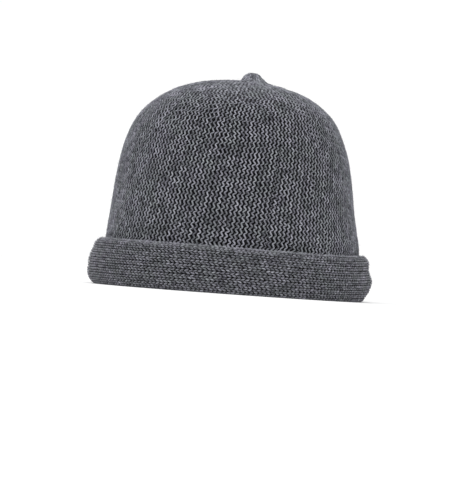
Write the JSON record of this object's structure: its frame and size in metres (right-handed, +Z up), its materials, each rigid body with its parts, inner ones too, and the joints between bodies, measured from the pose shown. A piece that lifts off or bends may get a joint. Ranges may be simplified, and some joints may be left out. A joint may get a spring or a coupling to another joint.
{
  "type": "knit hat",
  "caption": "Grey wool knit cap with a rounded crown of zigzag stitch, a small nub at the top and a sideways-knitted brim turned up round the edge.",
  "frame": {"origin": "middle of the flat surface that the hat rests on, under the middle of the brim", "axes": "+Z up through the crown, -Y towards the front of the hat, the side that the picture shows, and +X to the right in the picture"},
  "size_m": [0.2065, 0.2158, 0.1614],
  "materials": {
    "crown_wool": "grey melange wool yarn knitted in raised zigzag columns with dark gaps between them, dull and slightly fuzzy",
    "brim_wool": "the same yarn knitted sideways in close horizontal ridges of small stitches, dull and slightly fuzzy"
  },
  "bodies": {
    "root": {"crown": "crown_wool", "brim": "brim_wool"}
  },
  "joints": []
}
